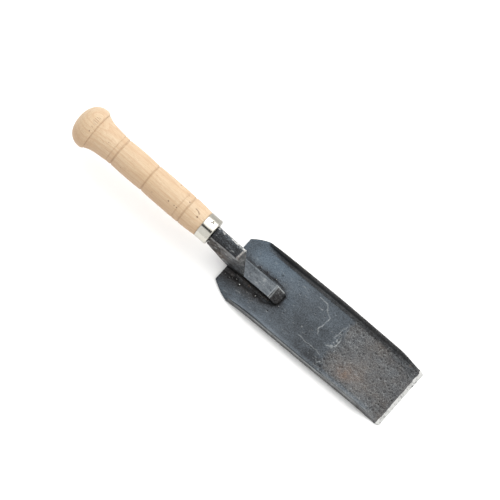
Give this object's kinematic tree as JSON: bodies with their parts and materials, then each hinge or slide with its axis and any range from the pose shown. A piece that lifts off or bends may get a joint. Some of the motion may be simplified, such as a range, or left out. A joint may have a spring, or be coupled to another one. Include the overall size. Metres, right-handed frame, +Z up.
{
  "type": "hoof knife",
  "caption": "Farrier's push-type hoof knife: flat steel blade with turned-up sides, cranked shank welded on top, turned wooden handle with metal ferrule and mushroom knob.",
  "frame": {"origin": "middle of the blade's flat underside, on the tool's mid-plane", "axes": "+X towards the cutting edge, -X towards the knob, +Z up out of the blade's trough, +Y to the left when looking along +X"},
  "size_m": [0.3608, 0.0643, 0.0655],
  "materials": {
    "blade_steel": "heat-treated sheet steel, blue-grey scale, rubbed and pitted towards the ground edge",
    "shank_steel": "forged steel, worn bright along its edges",
    "weld_metal": "rippled arc weld with heat tint",
    "ferrule_metal": "polished nickel-plated ferrule",
    "handle_wood": "turned pale hardwood, oiled"
  },
  "bodies": {
    "root": {"blade": "blade_steel", "shank": "shank_steel", "weld_bead_left": "weld_metal", "weld_bead_right": "weld_metal", "ferrule": "ferrule_metal", "handle": "handle_wood"}
  },
  "joints": []
}
